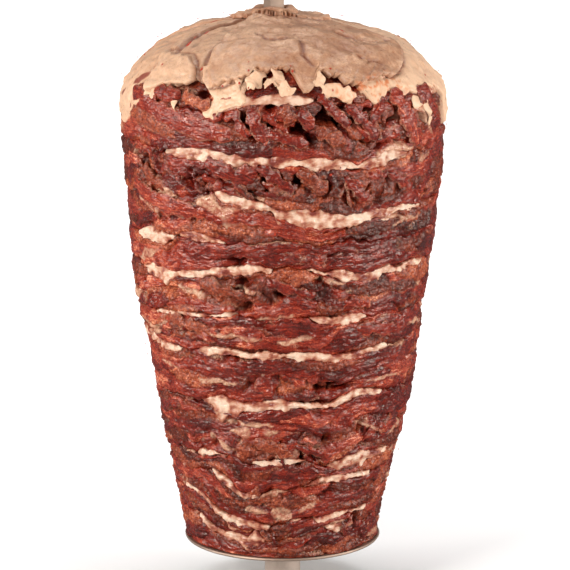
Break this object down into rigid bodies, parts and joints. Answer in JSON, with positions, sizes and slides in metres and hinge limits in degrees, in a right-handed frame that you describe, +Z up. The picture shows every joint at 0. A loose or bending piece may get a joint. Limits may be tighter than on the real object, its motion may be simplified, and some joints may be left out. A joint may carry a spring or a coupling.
{
  "type": "stacked kebab meat on spit",
  "caption": "Tall raw kebab stack: meat slices and fat sheets layered on an upright square spit, flaring upwards to a draped fat cap, on a round steel plate and foot.",
  "frame": {"origin": "centre of the foot's flat lower end, on the spit's axis", "axes": "+Z up along the spit, -Y towards the shown side, +X to its right"},
  "size_m": [0.326, 0.326, 0.6426],
  "materials": {
    "steel": "worn brushed steel with a little meat juice",
    "meat": "raw red-brown meat, wet and fibrous",
    "fat": "raw cream fat, moist",
    "cap_fat": "raw pink-beige fat sheet with a thin skin"
  },
  "bodies": {
    "root": {"foot": "steel", "plate": "steel", "bar": "steel", "meat_tier_01": "meat", "meat_tier_02": "meat", "meat_tier_03": "meat", "meat_tier_04": "meat", "meat_tier_05": "meat", "meat_tier_06": "meat", "meat_tier_07": "meat", "meat_tier_08": "meat", "meat_tier_09": "meat", "meat_tier_10": "meat", "meat_tier_11": "meat", "meat_tier_12": "meat", "meat_tier_13": "meat", "fat_sheet_01": "fat", "fat_sheet_02": "fat", "fat_sheet_03": "fat", "fat_sheet_04": "fat", "fat_sheet_05": "fat", "fat_sheet_06": "fat", "fat_sheet_07": "fat", "fat_sheet_08": "fat", "fat_sheet_09": "fat", "fat_sheet_10": "fat", "fat_sheet_11": "fat", "fat_sheet_12": "fat", "fat_cap_front": "cap_fat", "fat_cap_right": "cap_fat", "fat_cap_back_right": "cap_fat", "fat_cap_back_left": "cap_fat", "fat_cap_left": "cap_fat", "fat_collar": "cap_fat"}
  },
  "joints": []
}
